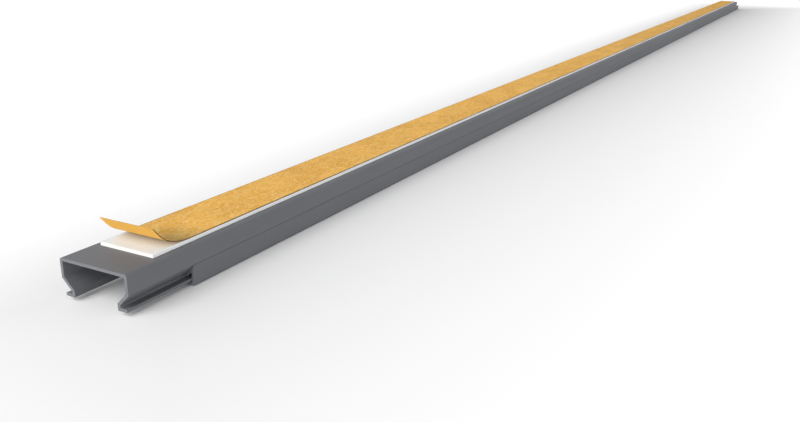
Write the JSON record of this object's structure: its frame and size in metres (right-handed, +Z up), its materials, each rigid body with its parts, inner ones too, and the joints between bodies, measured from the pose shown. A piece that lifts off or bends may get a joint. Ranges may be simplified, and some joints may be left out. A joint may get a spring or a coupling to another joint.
{
  "type": "self-adhesive cord cover raceway",
  "caption": "Straight snap-lid cord raceway: hooked plastic base channel, sliding cover, foam tape and peeled release liner.",
  "frame": {"origin": "middle of the object's length and width, on the floor under the cover's outer face", "axes": "+X along the length, away from the peeled end; +Y across; +Z up, from the cover's outer face to the mounting tape"},
  "size_m": [1.0196, 0.02, 0.0166],
  "materials": {
    "grey_plastic": "satin extruded plastic, mid grey",
    "white_foam": "matte closed-cell foam, white",
    "amber_liner": "waxy coated paper, amber"
  },
  "bodies": {
    "base": {"base_channel": "grey_plastic", "foam_tape": "white_foam", "release_liner": "amber_liner"},
    "cover": {"snap_cover": "grey_plastic"}
  },
  "joints": [
    {"name": "cover_slide", "type": "slide", "parent": "base", "child": "cover", "axis": [1, 0, 0], "range_m": [-0.0195, 0.9805]}
  ]
}
